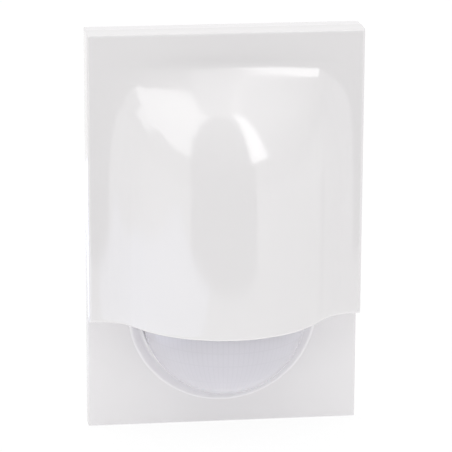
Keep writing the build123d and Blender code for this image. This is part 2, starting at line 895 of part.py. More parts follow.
# Detectors behind the lens
def facet_frames():
    """Places of the three detector seats: left, centre and right."""
    half = holder_facet / 2
    turn = radians(holder_tilt)
    out = half + half * cos(turn)
    down = half * sin(turn)
    top = board_top + holder_height
    left = Pos(-out, -lens_drop, top - down) * Rot(0, -holder_tilt, 0)
    right = Pos(out, -lens_drop, top - down) * Rot(0, holder_tilt, 0)
    return [left, Pos(0, -lens_drop, top), right]


def detector_holder():
    """Faceted block that aims the three detectors to the left, straight out and to the right."""
    half = holder_facet / 2
    turn = radians(holder_tilt)
    top = board_top + holder_height
    wide = half + holder_facet * cos(turn)
    low = top - holder_facet * sin(turn)
    points = [(-half, top), (half, top), (wide, low), (wide, board_top), (-wide, board_top), (-wide, low)]
    if low <= board_top:
        wide = half + holder_height / sin(turn) * cos(turn)
        points = [(-half, top), (half, top), (wide, board_top), (-wide, board_top)]
    profile = make_face(Plane.XZ * Polyline(points, close=True))
    holder = Pos(0, -lens_drop, 0) * extrude(profile, holder_width / 2, both=True)
    for frame in facet_frames():
        holder -= frame * rod(pir_flange_radius + running_gap, -can_seat_depth, holder_facet)
    return holder


def pir_sensor():
    """Metal can with a flange and a window opening, drawn standing on its seat."""
    low = -can_seat_depth
    top = low + pir_height
    can = rod(pir_radius, low, top)
    can = fillet(can.edges().group_by(Axis.Z)[-1], pir_edge_round)
    can += rod(pir_flange_radius, low, low + pir_flange_height)
    low = top - window_thickness
    return can - slab(window_width, window_height, window_corner_radius, low, top + cut_overrun)


def pir_windows():
    """Dark filter windows, flush with the cans."""
    low = -can_seat_depth + pir_height - window_thickness
    pane = slab(window_width, window_height, window_corner_radius, low, low + window_thickness)
    return group(frame * pane for frame in facet_frames())


def daylight_sensor():
    """Round photocell with its zigzag track as two grooves."""
    cell = rod(photocell_radius, 0, photocell_height)
    half = photocell_track_width / 2
    low = photocell_height - photocell_track_depth
    arm = photocell_radius - photocell_track_width
    for shift in (-photocell_track_width, photocell_track_width):
        cell -= block(-arm, arm, shift - half, shift + half, low, photocell_height + cut_overrun)
    return Pos(0, -lens_drop - photocell_offset, board_top) * cell


def status_led():
    """Round-nosed lamp on a foot."""
    straight = led_height - led_radius
    lamp = rod(led_radius, 0, straight) + Pos(0, 0, straight) * Sphere(led_radius)
    lamp = lamp & rod(led_foot_radius, 0, led_height)
    return Pos(0, led_offset - lens_drop, board_top) * (lamp + rod(led_foot_radius, 0, led_foot_height))


# Write every piece
os.makedirs("parts", exist_ok=True)

save("base_plate", base_plate())
save("wall_gasket", gasket_ring(gasket_side_gap))
save("cable_grommet", cable_grommet())
save("front_hood", front_hood())
save_fitted("lens_dome", lens_dome())
save_fitted("lens_ring", lens_ring())
save_fitted("lens_seal", lens_seal())
save_fitted("main_board", main_board())
save_fitted("board_screws", board_screws())
for name, x in zip(dial_names, dial_xs):
    save_fitted(f"{name}_dial_body", pot_body(x))
    save_fitted(f"{name}_dial", dial(x))
save_fitted("relay_base", relay_place(relay_base()))
save_fitted("relay_case", relay_place(relay_case()))
save_fitted("relay_bobbin", relay_place(relay_bobbin()))
save_fitted("relay_winding", relay_place(relay_winding()))
save_fitted("relay_yoke", relay_place(relay_yoke()))
save_fitted("relay_armature", relay_place(relay_armature()))
save_fitted("relay_contact_spring", relay_place(relay_contact_spring()))
save_fitted("relay_fixed_contact", relay_place(relay_fixed_contact()))
save_fitted("terminal_block", terminal_block())
save_fitted("terminal_clamps", terminal_clamps())
save_fitted("terminal_screws", terminal_screws())
save_fitted("film_capacitor", film_capacitor())
save_fitted("round_capacitors", round_capacitors())
save_fitted("varistor", varistor())
save_fitted("fuse", fuse())
save_fitted("controller_chip", controller_chip())
save_fitted("rectifier", rectifier())
save_fitted("resistors", resistors())
save_fitted("detector_holder", detector_holder())
for name, frame in zip(detector_names, facet_frames()):
    save_fitted(f"pir_sensor_{name}", frame * pir_sensor())
save_fitted("pir_windows", pir_windows())
save_fitted("daylight_sensor", daylight_sensor())
save_fitted("status_led", status_led())
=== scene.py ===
"""Visual model of a motion sensor light switch: hood, plate, lens and the works behind them."""
import logging
import math
from dataclasses import dataclass
from enum import Enum
from typing import Callable, Iterable, Sequence

import bpy
import numpy as np
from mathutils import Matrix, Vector


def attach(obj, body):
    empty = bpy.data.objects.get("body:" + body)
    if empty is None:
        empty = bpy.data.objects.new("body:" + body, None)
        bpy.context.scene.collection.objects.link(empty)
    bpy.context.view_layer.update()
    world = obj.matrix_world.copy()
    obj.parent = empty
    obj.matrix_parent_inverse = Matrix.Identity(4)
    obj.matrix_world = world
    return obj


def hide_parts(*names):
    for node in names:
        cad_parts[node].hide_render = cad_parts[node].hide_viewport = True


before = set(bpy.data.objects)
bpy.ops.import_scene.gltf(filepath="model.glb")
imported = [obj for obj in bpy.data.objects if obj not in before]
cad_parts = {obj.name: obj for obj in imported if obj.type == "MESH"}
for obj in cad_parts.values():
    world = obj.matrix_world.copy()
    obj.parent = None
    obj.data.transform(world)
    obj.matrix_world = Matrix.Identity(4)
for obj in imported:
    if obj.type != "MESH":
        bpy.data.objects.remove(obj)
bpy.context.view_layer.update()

MM = 0.001
SAME_POINT = 1e-7
NOISE_SPAN = (0.3, 0.7)
Colour = tuple[float, float, float]
Point = tuple[float, float, float]
Pair = tuple[float, float]
Piece = bpy.types.Object
Socket = bpy.types.NodeSocket

logging.basicConfig(level=logging.INFO, format="%(levelname)s %(message)s")
log = logging.getLogger("switch")


def at(x: float, depth: float, height: float) -> Vector:
    """Turn a place in millimetres, with its depth out of the wall, into the shared frame.

    Args:
        x: millimetres to the right of the middle.
        depth: millimetres out of the wall.
        height: millimetres above the middle.

    Returns:
        The point in metres.
    """
    return Vector((x * MM, -depth * MM, height * MM))


# Modelling by hand


def start_clean() -> None:
    """Leave edit mode and deselect everything."""
    if bpy.context.object and bpy.context.object.mode != "OBJECT":
        bpy.ops.object.mode_set(mode="OBJECT")
    bpy.ops.object.select_all(action="DESELECT")


def take(name: str) -> Piece:
    """Name the object that was just added, and put its place and size into its mesh.

    Args:
        name: its new name.

    Returns:
        The object.
    """
    piece = bpy.context.active_object
    piece.name = name
    piece.data.name = name
    bpy.ops.object.transform_apply(location=True, rotation=True, scale=True)
    return piece


def focus(piece: Piece) -> None:
    """Select one object alone and make it active.

    Args:
        piece: the object.
    """
    start_clean()
    piece.select_set(True)
    bpy.context.view_layer.objects.active = piece


def edit(piece: Piece, *steps: Callable[[], object]) -> Piece:
    """Run edit mode steps on all of a piece.

    Args:
        piece: the object to edit.
        steps: operators, as functions without arguments, run in order with all selected first.

    Returns:
        The same object.
    """
    focus(piece)
    bpy.ops.object.mode_set(mode="EDIT")
    bpy.ops.mesh.select_all(action="SELECT")
    for step in steps:
        step()
    bpy.ops.object.mode_set(mode="OBJECT")
    return piece


def pick_faces(piece: Piece, test: Callable[[Vector], bool]) -> None:
    """Select the faces whose centre passes a test.

    Args:
        piece: the object, in object mode.
        test: tells whether a centre passes.
    """
    mesh = piece.data
    mesh.vertices.foreach_set("select", [False] * len(mesh.vertices))
    mesh.edges.foreach_set("select", [False] * len(mesh.edges))
    mesh.polygons.foreach_set("select", [bool(test(face.center)) for face in mesh.polygons])


def pick_edges(piece: Piece, test: Callable[[Vector], bool]) -> None:
    """Select the edges whose two ends pass a test.

    Args:
        piece: the object, in object mode.
        test: tells whether an end passes.
    """
    mesh = piece.data
    passed = [bool(test(vertex.co)) for vertex in mesh.vertices]
    mesh.vertices.foreach_set("select", passed)
    mesh.edges.foreach_set("select", [all(passed[index] for index in edge.vertices) for edge in mesh.edges])
    mesh.polygons.foreach_set("select", [False] * len(mesh.polygons))


def work_on(piece: Piece, mode: str, step: Callable[[], object]) -> None:
    """Run an edit mode step on what is already picked.

    Args:
        piece: the object, with its parts picked in object mode.
        mode: EDGE or FACE.
        step: an operator, as a function without arguments.
    """
    focus(piece)
    bpy.ops.object.mode_set(mode="EDIT")
    bpy.ops.mesh.select_mode(type=mode)
    step()
    bpy.ops.mesh.select_mode(type="VERT")
    bpy.ops.object.mode_set(mode="OBJECT")


def pick_open_edges(piece: Piece) -> None:
    """Enter edit mode on a piece, with only its open edges selected.

    Args:
        piece: the object.
    """
    focus(piece)
    bpy.ops.object.mode_set(mode="EDIT")
    bpy.ops.mesh.select_mode(type="EDGE")
    bpy.ops.mesh.select_all(action="DESELECT")
    bpy.ops.mesh.select_non_manifold(extend=False, use_wire=False, use_multi_face=False,
                                     use_non_contiguous=False, use_verts=False)


def close_and_turn_out(piece: Piece, merge: float) -> Piece:
    """Merge doubles and point every face outwards.

    Args:
        piece: the object.
        merge: the merge distance in millimetres.

    Returns:
        The same object.
    """
    return edit(
        piece,
        lambda: bpy.ops.mesh.remove_doubles(threshold=merge * MM),
        lambda: bpy.ops.mesh.normals_make_consistent(inside=False),
    )


def smooth(piece: Piece, angle: float = 32.0) -> Piece:
    """Shade a piece smooth, with its sharp edges kept crisp.

    Args:
        piece: the object.
        angle: how many degrees an edge turns before it stays crisp.

    Returns:
        The same object.
    """
    focus(piece)
    bpy.ops.object.shade_smooth_by_angle(angle=math.radians(angle))
    return piece


def join(name: str, parts: Sequence[Piece]) -> Piece:
    """Join several objects into one, and name it.

    Args:
        name: the joined object's name.
        parts: the objects.

    Returns:
        The joined object.
    """
    focus(parts[0])
    for part in parts:
        part.select_set(True)
    bpy.ops.object.join()
    return take(name)


def cut_box(piece: Piece, low: Point, high: Point) -> None:
    """Cut a box out of a piece.

    Args:
        piece: the piece.
        low: the box's lowest x, depth and height, in millimetres.
        high: its highest x, depth and height.
    """
    start_clean()
    centre = at(*[(a + b) / 2 for a, b in zip(low, high)])
    size = [(b - a) * MM for a, b in zip(low, high)]
    bpy.ops.mesh.primitive_cube_add(size=1, location=centre, scale=size)
    cutter = take("cutter")
    focus(piece)
    modifier = piece.modifiers.new("Boolean", "BOOLEAN")
    modifier.object, modifier.operation, modifier.solver = cutter, "DIFFERENCE", "FAST"
    bpy.ops.object.modifier_apply(modifier=modifier.name)
    bpy.data.objects.remove(cutter)


def lathe(name: str, outline: Sequence[Pair], x: float, height: float, steps: int,
          closed: bool = False) -> Piece:
    """Spin an outline round an axis that stands out of the wall.

    Args:
        name: the object's name.
        outline: radius and depth of each point, in millimetres.
        x: the axis to the right of the middle.
        height: the axis above the middle.
        steps: how many steps the spin has.
        closed: whether the outline's last point joins its first.

    Returns:
        The object.
    """
    start_clean()
    bpy.ops.mesh.primitive_plane_add(size=MM, location=at(x + outline[0][0], outline[0][1], height))
    piece = take(name)
    edit(piece, lambda: bpy.ops.mesh.merge(type="CENTER"))
    points = list(outline) + ([outline[0]] if closed else [])
    moves = [at(b[0] - a[0], b[1] - a[1], 0) for a, b in zip(points, points[1:])]

    def draw() -> None:
        """Extrude the outline point by point."""
        for move in moves:
            bpy.ops.mesh.extrude_region_move(TRANSFORM_OT_translate={"value": move})

    edit(piece, draw)
    edit(
        piece,
        lambda: bpy.ops.mesh.remove_doubles(threshold=SAME_POINT),
        lambda: bpy.ops.mesh.spin(steps=steps, angle=math.tau, center=at(x, 0, height), axis=(0, 1, 0)),
    )
    return close_and_turn_out(piece, merge=0.0005)


def copies(name: str, pattern: Piece, places: Iterable[Point]) -> Piece:
    """Copy a piece to several places, each copy with its own mesh, and join them.

    Args:
        name: the joined object's name.
        pattern: the piece, drawn about the origin. It is used up.
        places: x, depth and height of each copy, in millimetres.

    Returns:
        The joined object.
    """
    parts = []
    for place in places:
        part = pattern.copy()
        part.data = pattern.data.copy()
        part.location = at(*place)
        bpy.context.scene.collection.objects.link(part)
        parts.append(part)
    bpy.data.objects.remove(pattern)
    return join(name, parts)


# Finishes


class Grain(Enum):
    """What a surface's fine relief is like."""

    POLISHED = "polished"
    MOULDED = "moulded"
    BRUSHED = "brushed"
    CAST = "cast"
    WOUND = "wound"


class Graph:
    """Nodes of a material or a world, added and linked in a line each."""

    def __init__(self, owner: bpy.types.ID) -> None:
        """Empty the owner's nodes.

        Args:
            owner: the material or world.
        """
        self.owner = owner
        owner.use_nodes = True
        self.tree = owner.node_tree
        self.tree.nodes.clear()

    def feed(self, socket: Socket, value: object) -> None:
        """Set an input, or link it where the value is another node's output.

        Args:
            socket: the input.
            value: a plain value, or an output.
        """
        if isinstance(value, Socket):
            self.tree.links.new(value, socket)
        else:
            socket.default_value = value

    def add(self, kind: str, **inputs: object) -> bpy.types.Node:
        """Add a node.

        Args:
            kind: the node's type.
            inputs: values for its inputs, by name with underscores for spaces, or its properties.

        Returns:
            The node.
        """
        node = self.tree.nodes.new(kind)
        for key, value in inputs.items():
            label = key.replace("_", " ")
            if label in node.inputs:
                self.feed(node.inputs[label], value)
            else:
                setattr(node, key, value)
        return node

    def place(self, scale: Point = (1, 1, 1), shift: Point = (0, 0, 0)) -> Socket:
        """Coordinates on the object, scaled and moved."""
        source = self.add("ShaderNodeTexCoord").outputs["Object"]
        return self.add("ShaderNodeMapping", Scale=scale, Location=shift, Vector=source).outputs["Vector"]

    def maths(self, operation: str, first: object, second: object = 0.0) -> Socket:
        """One sum on two values.

        Args:
            operation: the sum, as a maths node names it.
            first: a number or an output.
            second: a number or an output.

        Returns:
            The result.
        """
        node = self.add("ShaderNodeMath", operation=operation)
        for socket, value in zip(node.inputs, (first, second)):
            self.feed(socket, value)
        return node.outputs[0]

    def ranged(self, value: object, low: float, high: float, to_low: object, to_high: object) -> Socket:
        """Map a value from one range to another, held at its ends."""
        return self.add("ShaderNodeMapRange", Value=value, From_Min=low, From_Max=high,
                        To_Min=to_low, To_Max=to_high).outputs["Result"]

    def mix(self, share: object, first: object, second: object) -> Socket:
        """Mix two colours.

        Args:
            share: how much the second one counts, a number or an output.
            first: a colour or an output.
            second: a colour or an output.

        Returns:
            The mixed colour.
        """
        node = self.add("ShaderNodeMix", data_type="RGBA")
        for index, value in zip((0, 6, 7), (share, first, second)):
            self.feed(node.inputs[index], (*value, 1.0) if isinstance(value, tuple) else value)
        return node.outputs[2]

    def seen(self) -> Socket:
        """Tell the rays that show something to the eye from those that only light it.

        Returns:
            1 for the camera's rays and for those in gloss or through a clear piece, 0 for others.
        """
        path = self.add("ShaderNodeLightPath")
        direct = self.maths("MAXIMUM", path.outputs["Is Camera Ray"], path.outputs["Is Glossy Ray"])
        return self.maths("MAXIMUM", direct, path.outputs["Is Transmission Ray"])

    def end(self, shader: bpy.types.Node, output: str = "ShaderNodeOutputMaterial") -> bpy.types.ID:
        """Link the last shader to the output, and return the material or world."""
        self.add(output, Surface=shader.outputs[0])
        return self.owner


@dataclass(frozen=True)
class Finish:
    """A finish with its colour variation, roughness and fine relief.

    Sizes are in millimetres, and spans and shares have no unit.
    """

    name: str
    colour: Colour
    roughness: float
    grain: Grain = Grain.MOULDED
    grain_size: float = 0.5
    relief: float = 0.004
    mottle: float = 0.03
    mottle_size: float = 12.0
    metallic: float = 0.0
    ior: float = 1.49
    coat: float = 0.0
    transmission: float = 0.0
    subsurface: float = 0.0
    subsurface_depth: float = 1.0
    fleck_span: Pair = (0.05, 0.25)
    fleck_strength: float = 0.5
    fleck_dark: float = 0.75
    patch_share: float = 0.6
    roughness_span: Pair = (0.85, 1.2)
    brush_stretch: float = 0.06

    def stretch(self) -> Point:
        """How the grain is drawn out along each axis."""
        return (self.brush_stretch, 1.0, 1.0) if self.grain is Grain.BRUSHED else (1.0, 1.0, 1.0)

    def shade(self, share: float) -> Colour:
        """The finish's colour, made lighter or darker."""
        return tuple(min(c * share, 1.0) for c in self.colour)

    def colour_of(self, graph: Graph) -> Socket:
        """Colour with slow variation, and flecks in a cast surface.

        Args:
            graph: the material's nodes.

        Returns:
            The colour's socket.
        """
        slow = graph.add("ShaderNodeTexNoise", Vector=graph.place(), Scale=1 / (self.mottle_size * MM),
                         Detail=4.0)
        share = graph.ranged(slow.outputs["Fac"], *NOISE_SPAN, 0.0, 1.0)
        colour = graph.mix(share, self.shade(1 - self.mottle), self.shade(1 + self.mottle))
        if self.grain is Grain.CAST:
            flecks = graph.add("ShaderNodeTexVoronoi", Vector=graph.place(), Scale=1 / (self.grain_size * MM))
            fleck = graph.ranged(flecks.outputs["Distance"], *self.fleck_span, self.fleck_strength, 0.0)
            colour = graph.mix(fleck, colour, self.shade(self.fleck_dark))
        return colour

    def relief_of(self, graph: Graph) -> Socket:
        """Fine relief for the shader's normal.

        Args:
            graph: the material's nodes.

        Returns:
            The normal's socket.
        """
        scale = 1 / (self.grain_size * MM)
        if self.grain is Grain.WOUND:
            pattern = graph.add("ShaderNodeTexWave", Vector=graph.place(), Scale=scale / math.tau,
                                Distortion=0.4, bands_direction="Y")
        else:
            pattern = graph.add("ShaderNodeTexNoise", Vector=graph.place(self.stretch()), Scale=scale,
                                Detail=3.0)
        bump = graph.add("ShaderNodeBump", Height=pattern.outputs["Fac"], Distance=self.relief * MM,
                         Strength=1.0)
        return bump.outputs["Normal"]

    def roughness_of(self, graph: Graph) -> Socket:
        """Roughness that changes slightly across the surface.

        Args:
            graph: the material's nodes.

        Returns:
            The roughness's socket.
        """
        patches = graph.add("ShaderNodeTexNoise", Vector=graph.place(), Detail=6.0, Roughness=0.6,
                            Scale=1 / (self.patch_share * self.mottle_size * MM))
        low, high = (share * self.roughness for share in self.roughness_span)
        return graph.ranged(patches.outputs["Fac"], *NOISE_SPAN, low, high)

    def shader(self, graph: Graph, colour: Socket) -> bpy.types.Node:
        """The surface shader with this finish's own values.

        Args:
            graph: the material's nodes.
            colour: the colour's socket.

        Returns:
            The shader node.
        """
        return graph.add(
            "ShaderNodeBsdfPrincipled", Base_Color=colour, Roughness=self.roughness_of(graph),
            Metallic=self.metallic, IOR=self.ior, Normal=self.relief_of(graph), Coat_Weight=self.coat,
            Transmission_Weight=self.transmission, Subsurface_Weight=self.subsurface,
            Subsurface_Scale=self.subsurface_depth * MM, Subsurface_Radius=(1.0, 1.0, 1.0))

    def material(self) -> bpy.types.Material:
        """Build the finish."""
        graph = Graph(bpy.data.materials.new(self.name))
        return graph.end(self.shader(graph, self.colour_of(graph)))


@dataclass(frozen=True)
class SegmentedLens(Finish):
    """Milky lens plastic with painted shade in fine lines where its segments meet. Row angles are in degrees.
    """

    centre: Point = (0.0, 7.0, -25.0)
    columns: int = 96
    row_angles: tuple[float, ...] = ()
    column_line: float = 0.12
    row_line: float = 0.012
    painted_shade_strength: float = 0.24
    painted_shade_dark: float = 0.8

    def colour_of(self, graph: Graph) -> Socket:
        """Milky colour with faint painted shade lines where the segments meet.

        Args:
            graph: the material's nodes.

        Returns:
            The colour's socket.
        """
        plain = super().colour_of(graph)
        where = graph.place(shift=tuple(-c for c in at(*self.centre)))
        split = graph.add("ShaderNodeSeparateXYZ", Vector=where)
        x, y, z = split.outputs
        # Painted shade: the colour is darkened in thin lines where the segments meet, in place of the segment
        # edges showing through the plastic.
        step = math.tau / self.columns
        turn = graph.maths("ADD", graph.maths("ARCTAN2", x, y), 2 * math.tau)
        lines = graph.ranged(graph.maths("PINGPONG", turn, step / 2), 0.0, self.column_line * step, 1.0, 0.0)
        squares = graph.maths("ADD", graph.maths("POWER", x, 2.0), graph.maths("POWER", y, 2.0))
        rise = graph.maths("ARCTAN2", z, graph.maths("SQRT", squares))
        for angle in self.row_angles:
            gap = graph.maths("ABSOLUTE", graph.maths("SUBTRACT", rise, math.radians(angle)))
            lines = graph.maths("MAXIMUM", lines, graph.ranged(gap, 0.0, self.row_line, 1.0, 0.0))
        strength = graph.maths("MULTIPLY", lines, self.painted_shade_strength)
        return graph.mix(strength, plain, self.shade(self.painted_shade_dark))


@dataclass(frozen=True)
class BandedBody(Finish):
    """Resistor body with colour bands round it, and bare leads at its ends."""

    middle: float = 28.6
    half: float = 2.8
    bands: tuple[tuple[float, Colour], ...] = ()
    band_half: float = 0.3
    blur: float = 0.02
    lead: Colour = (0.72, 0.72, 0.74)

    def colour_of(self, graph: Graph) -> Socket:
        """Body colour with bands, each a place along the body and a colour.

        Args:
            graph: the material's nodes.

        Returns:
            The colour's socket.
        """
        def beyond(gap: Socket, reach: float, inside: float) -> Socket:
            """Step from one value to its opposite, at a distance from a place."""
            return graph.ranged(gap, (reach - self.blur) * MM, (reach + self.blur) * MM, inside, 1.0 - inside)

        colour = super().colour_of(graph)
        split = graph.add("ShaderNodeSeparateXYZ", Vector=graph.place())
        along = graph.maths("SUBTRACT", split.outputs["Z"], self.middle * MM)
        for where, paint in self.bands:
            gap = graph.maths("ABSOLUTE", graph.maths("SUBTRACT", along, where * MM))
            colour = graph.mix(beyond(gap, self.band_half, 1.0), colour, paint)
        return graph.mix(beyond(graph.maths("ABSOLUTE", along), self.half, 0.0), colour, self.lead)


# After its colour, each finish has its roughness, grain, grain size, relief, mottle and mottle size.
HOOD_WHITE = Finish("hood_white", (0.782, 0.769, 0.775), 0.10, Grain.MOULDED, 4.0, 0.0012, 0.008, 30.0,
                    ior=1.58)
PLATE_WHITE = Finish("plate_white", (0.81, 0.797, 0.807), 0.14, Grain.MOULDED, 3.0, 0.0015, 0.008, 26.0,
                     ior=1.5)
# The lens finish paints shade lines at these row angles and between its columns.
LENS_MILK = SegmentedLens("lens_milk", (0.80, 0.785, 0.85), 0.22, Grain.MOULDED, 1.5, 0.002, 0.01, 9.0,
                          transmission=0.25, subsurface=0.5, subsurface_depth=2.0,
                          row_angles=(-41.0, -23.5, -12.5))
RING_CLEAR = Finish("ring_clear", (0.90, 0.888, 0.905), 0.12, Grain.MOULDED, 2.0, 0.001, 0.01, 8.0)
SEAL_RUBBER = Finish("seal_rubber", (0.035, 0.035, 0.036), 0.7, Grain.CAST, 0.3, 0.01, 0.15, 4.0)
GROMMET_RUBBER = Finish("grommet_rubber", (0.09, 0.09, 0.095), 0.62, Grain.CAST, 0.3, 0.01, 0.12, 4.0)
BOARD_GREEN = Finish("board_green", (0.016, 0.115, 0.048), 0.28, Grain.BRUSHED, 0.35, 0.004, 0.10, 7.0,
                     coat=0.3)
TRACK_GREEN = Finish("track_green", (0.030, 0.205, 0.075), 0.26, Grain.MOULDED, 0.4, 0.003, 0.08, 5.0,
                     coat=0.3)
PRINT_WHITE = Finish("print_white", (0.78, 0.78, 0.76), 0.5, Grain.CAST, 0.12, 0.003, 0.06, 3.0)
SOLDER = Finish("solder", (0.62, 0.62, 0.64), 0.28, Grain.CAST, 0.25, 0.01, 0.08, 1.5, metallic=1.0)
STEEL = Finish("steel", (0.60, 0.60, 0.61), 0.26, Grain.BRUSHED, 0.12, 0.003, 0.06, 3.0, metallic=1.0)
DIAL_WHITE = Finish("dial_white", (0.76, 0.76, 0.73), 0.35, Grain.MOULDED, 0.25, 0.004, 0.02, 4.0)
DIAL_BLUE = Finish("dial_blue", (0.035, 0.12, 0.36), 0.38, Grain.MOULDED, 0.25, 0.005, 0.05, 4.0)
RELAY_CASE = Finish("relay_case_blue", (0.12, 0.30, 0.62), 0.09, Grain.MOULDED, 1.0, 0.001, 0.03, 6.0,
                    transmission=0.85, ior=1.2)
BLACK_PLASTIC = Finish("black_plastic", (0.018, 0.018, 0.019), 0.42, Grain.CAST, 0.2, 0.006, 0.10, 3.0)
BOBBIN_PLASTIC = Finish("bobbin_plastic", (0.62, 0.55, 0.42), 0.4, Grain.MOULDED, 0.3, 0.004, 0.05, 4.0)
WINDING = Finish("winding_copper", (0.62, 0.24, 0.10), 0.3, Grain.WOUND, 0.16, 0.05, 0.08, 2.0, metallic=0.9)
BRASS = Finish("contact_brass", (0.72, 0.50, 0.20), 0.28, Grain.BRUSHED, 0.15, 0.004, 0.08, 3.0, metallic=1.0)
TERMINAL_GREY = Finish("terminal_grey", (0.46, 0.47, 0.48), 0.42, Grain.MOULDED, 0.25, 0.006, 0.04, 5.0)
CAPACITOR_YELLOW = Finish("capacitor_yellow", (0.72, 0.44, 0.035), 0.36, Grain.MOULDED, 0.3, 0.005, 0.05, 5.0)
CAPACITOR_SLEEVE = Finish("capacitor_sleeve", (0.025, 0.035, 0.08), 0.25, Grain.MOULDED, 0.6, 0.006,
                          0.10, 4.0, coat=0.3)
VARISTOR_BLUE = Finish("varistor_blue", (0.03, 0.12, 0.38), 0.3, Grain.CAST, 0.5, 0.02, 0.12, 3.0, coat=0.3)
RESISTOR = BandedBody("resistor_beige", (0.66, 0.47, 0.27), 0.34, Grain.MOULDED, 0.3, 0.004, 0.05, 3.0,
                      bands=((-2.0, (0.25, 0.03, 0.02)), (-1.0, (0.02, 0.02, 0.02)),
                             (0.0, (0.75, 0.25, 0.02)), (2.0, (0.55, 0.40, 0.10))))
HOLDER_BLACK = Finish("holder_black", (0.028, 0.028, 0.03), 0.6, Grain.CAST, 0.3, 0.012, 0.12, 4.0)
WINDOW_DARK = Finish("window_dark", (0.02, 0.018, 0.025), 0.06, Grain.POLISHED, 1.0, 0.0005, 0.05, 2.0,
                     coat=0.5)
PHOTOCELL = Finish("photocell_tan", (0.66, 0.30, 0.10), 0.2, Grain.CAST, 0.3, 0.01, 0.12, 1.5, coat=0.5)
LED_RED = Finish("led_red", (0.55, 0.02, 0.015), 0.12, Grain.POLISHED, 1.0, 0.0005, 0.05, 2.0,
                 transmission=0.35)

NODE_FINISHES: dict[str, Finish] = {
    "base_plate": PLATE_WHITE, "wall_gasket": SEAL_RUBBER, "cable_grommet": GROMMET_RUBBER,
    "lens_seal": SEAL_RUBBER, "main_board": BOARD_GREEN, "board_screws": STEEL,
    "relay_base": BLACK_PLASTIC, "relay_case": RELAY_CASE, "relay_bobbin": BOBBIN_PLASTIC,
    "relay_winding": WINDING, "relay_yoke": STEEL, "relay_armature": STEEL, "relay_contact_spring": BRASS,
    "relay_fixed_contact": BRASS, "terminal_block": TERMINAL_GREY, "terminal_clamps": BRASS,
    "terminal_screws": STEEL, "film_capacitor": CAPACITOR_YELLOW, "round_capacitors": CAPACITOR_SLEEVE,
    "varistor": VARISTOR_BLUE, "fuse": BLACK_PLASTIC, "controller_chip": BLACK_PLASTIC,
    "rectifier": BLACK_PLASTIC, "resistors": RESISTOR, "detector_holder": HOLDER_BLACK,
    "pir_sensor_left": STEEL, "pir_sensor_centre": STEEL, "pir_sensor_right": STEEL,
    "pir_windows": WINDOW_DARK, "daylight_sensor": PHOTOCELL, "status_led": LED_RED,
    "time_dial_body": DIAL_BLUE, "light_dial_body": DIAL_BLUE, "range_dial_body": DIAL_BLUE,
    "time_dial": DIAL_WHITE, "light_dial": DIAL_WHITE, "range_dial": DIAL_WHITE,
}


class Workshop:
    """Keeps one material per finish, and puts finished pieces on their bodies."""

    def __init__(self) -> None:
        """Start with no materials."""
        self.materials: dict[str, bpy.types.Material] = {}

    def material(self, finish: Finish) -> bpy.types.Material:
        """Give a finish's material, which is built at its first use.

        Args:
            finish: the finish.

        Returns:
            Its material.
        """
        if finish.name not in self.materials:
            self.materials[finish.name] = finish.material()
        return self.materials[finish.name]

    def coat(self, piece: Piece, finish: Finish) -> None:
        """Put a finish on every slot of a piece.

        Args:
            piece: the object.
            finish: its finish.
        """
        material = self.material(finish)
        if not piece.material_slots:
            piece.data.materials.append(material)
        for slot in piece.material_slots:
            slot.material = material

    def deliver(self, piece: Piece, body: str, finish: Finish, slot: str, *nodes: str) -> None:
        """Finish a new piece and put it on its body.

        Args:
            piece: the new piece.
            body: the body that it rides on.
            finish: its finish.
            slot: not used.
            nodes: the solids that it stands for.
        """
        self.coat(piece, finish)
        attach(piece, body)
        if nodes:
            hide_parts(*nodes)
        log.info("built %s, %d faces, on %s", piece.name, len(piece.data.polygons), body)

    def dress(self, name: str, finish: Finish) -> None:
        """Finish a solid that is kept as it is.

        Args:
            name: the solid's name.
            finish: its finish.
        """
        piece = bpy.data.objects[name]
        for slot in piece.material_slots:
            slot.link = "DATA"
        self.coat(piece, finish)
        log.info("dressed %s as %s", name, finish.name)


# Hood


